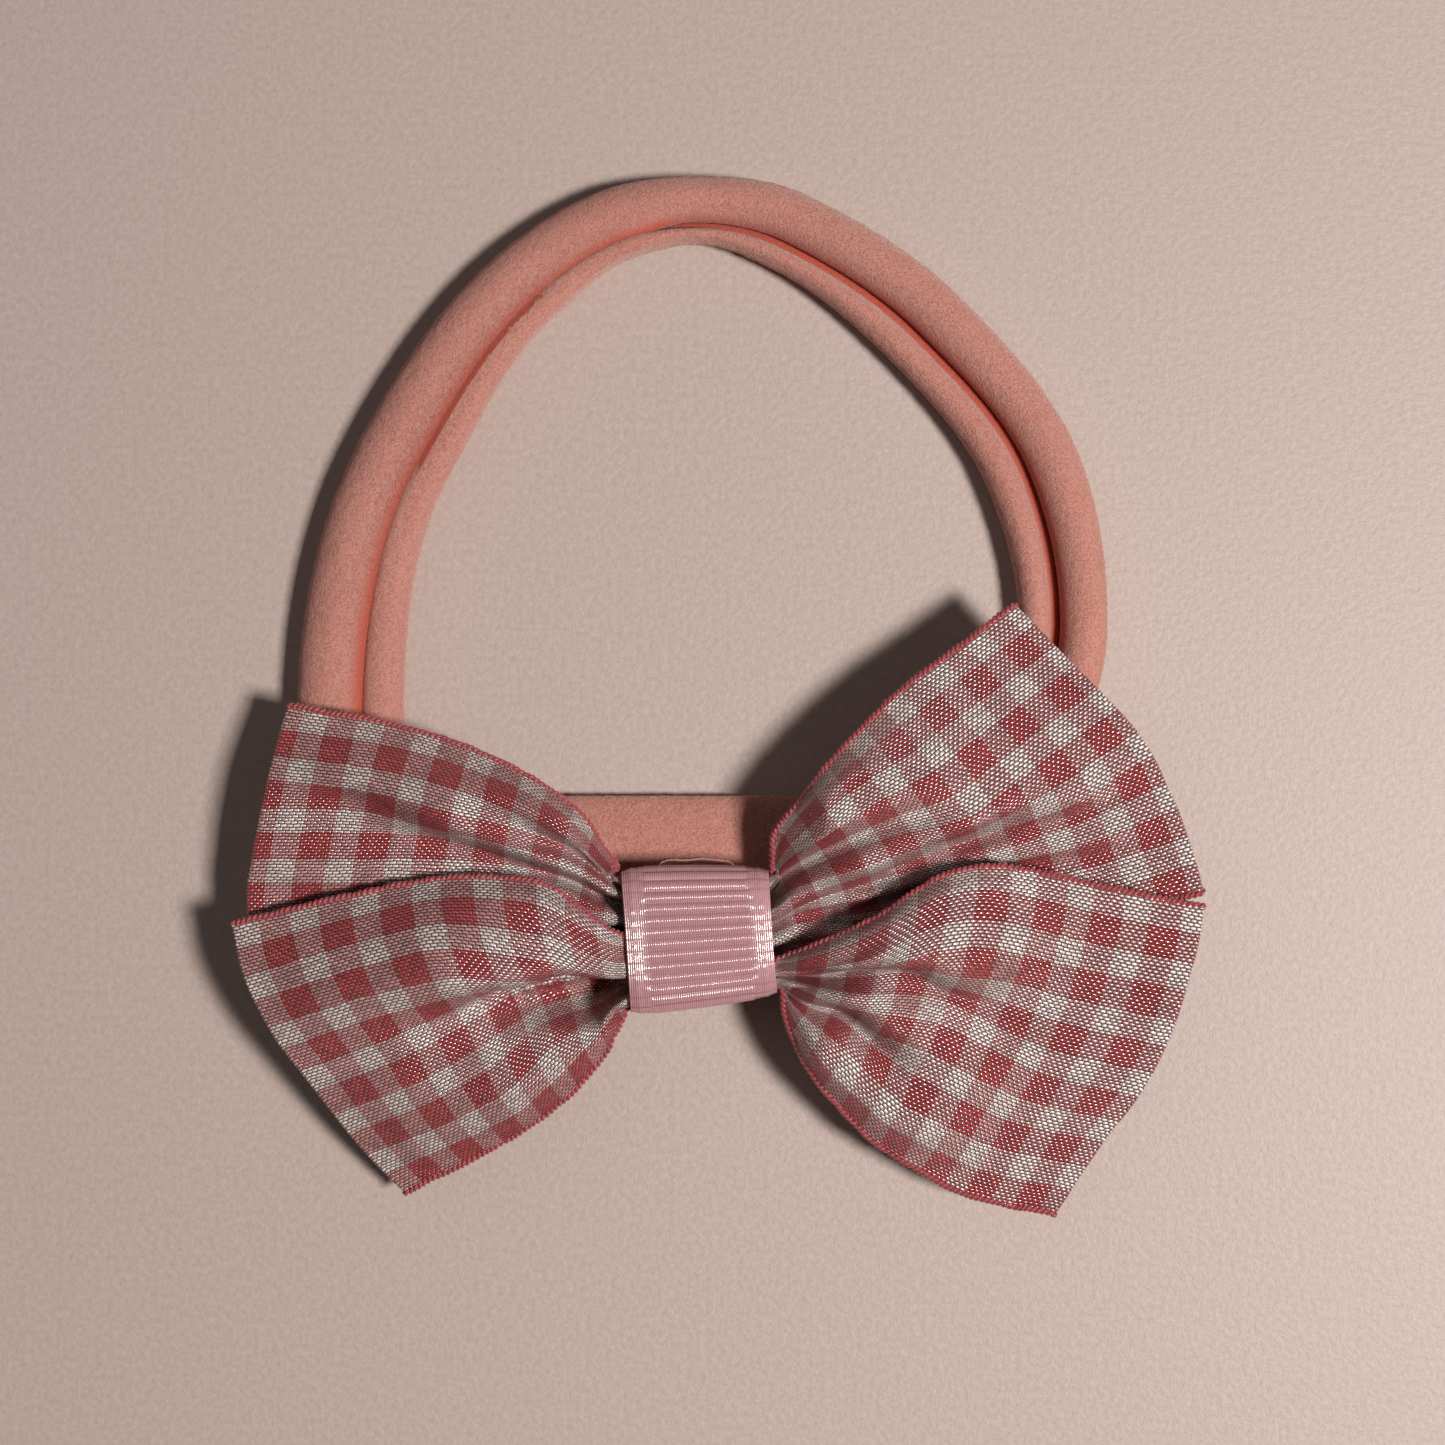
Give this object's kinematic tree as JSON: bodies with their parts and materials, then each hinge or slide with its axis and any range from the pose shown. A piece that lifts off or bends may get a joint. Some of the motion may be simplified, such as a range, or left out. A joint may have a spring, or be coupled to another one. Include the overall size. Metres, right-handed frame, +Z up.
{
  "type": "hair bow headband",
  "caption": "Two-layer pinched ribbon bow with a short ribbon wrap, glued at its back to a soft elastic band loop that goes round the head.",
  "frame": {"origin": "centre of the whole object's box in plan, on the table surface under it", "axes": "+X along the bow from wing to wing, +Y from the bow towards the crown of the band loop, +Z up from the table"},
  "size_m": [0.107, 0.116, 0.0162],
  "materials": {
    "gingham_ribbon": "woven satin-look gingham in white and two pinks, twisted edge",
    "grosgrain_ribbon": "ribbed grosgrain, slight sheen",
    "nylon_band": "velvety brushed nylon, soft fuzz",
    "thread": "twisted sewing thread",
    "hot_glue": "clear, slightly milky, glossy"
  },
  "bodies": {
    "bow": {"back_ribbon": "gingham_ribbon", "front_ribbon": "gingham_ribbon", "gathering_thread": "thread", "knot_wrap": "grosgrain_ribbon", "wrap_glue": "hot_glue", "band_glue": "hot_glue", "band_strand": "nylon_band"},
    "band_loop": {"band_left_side": "nylon_band", "band_right_side": "nylon_band"},
    "band_crown": {"band_crown": "nylon_band"}
  },
  "joints": [
    {"name": "loop_swing", "type": "hinge", "parent": "bow", "child": "band_loop", "pos_m": [-0.00394, -0.01796, 0.0018], "axis": [-1, 0, 0], "range_deg": [0, 90], "deforming": ["band_left_side", "band_right_side"]},
    {"name": "band_stretch", "type": "slide", "parent": "band_loop", "child": "band_crown", "axis": [0, 1, 0], "range_m": [0, 0.08], "stiffness_N_per_m": 25, "deforming": ["band_left_side", "band_right_side"]}
  ]
}
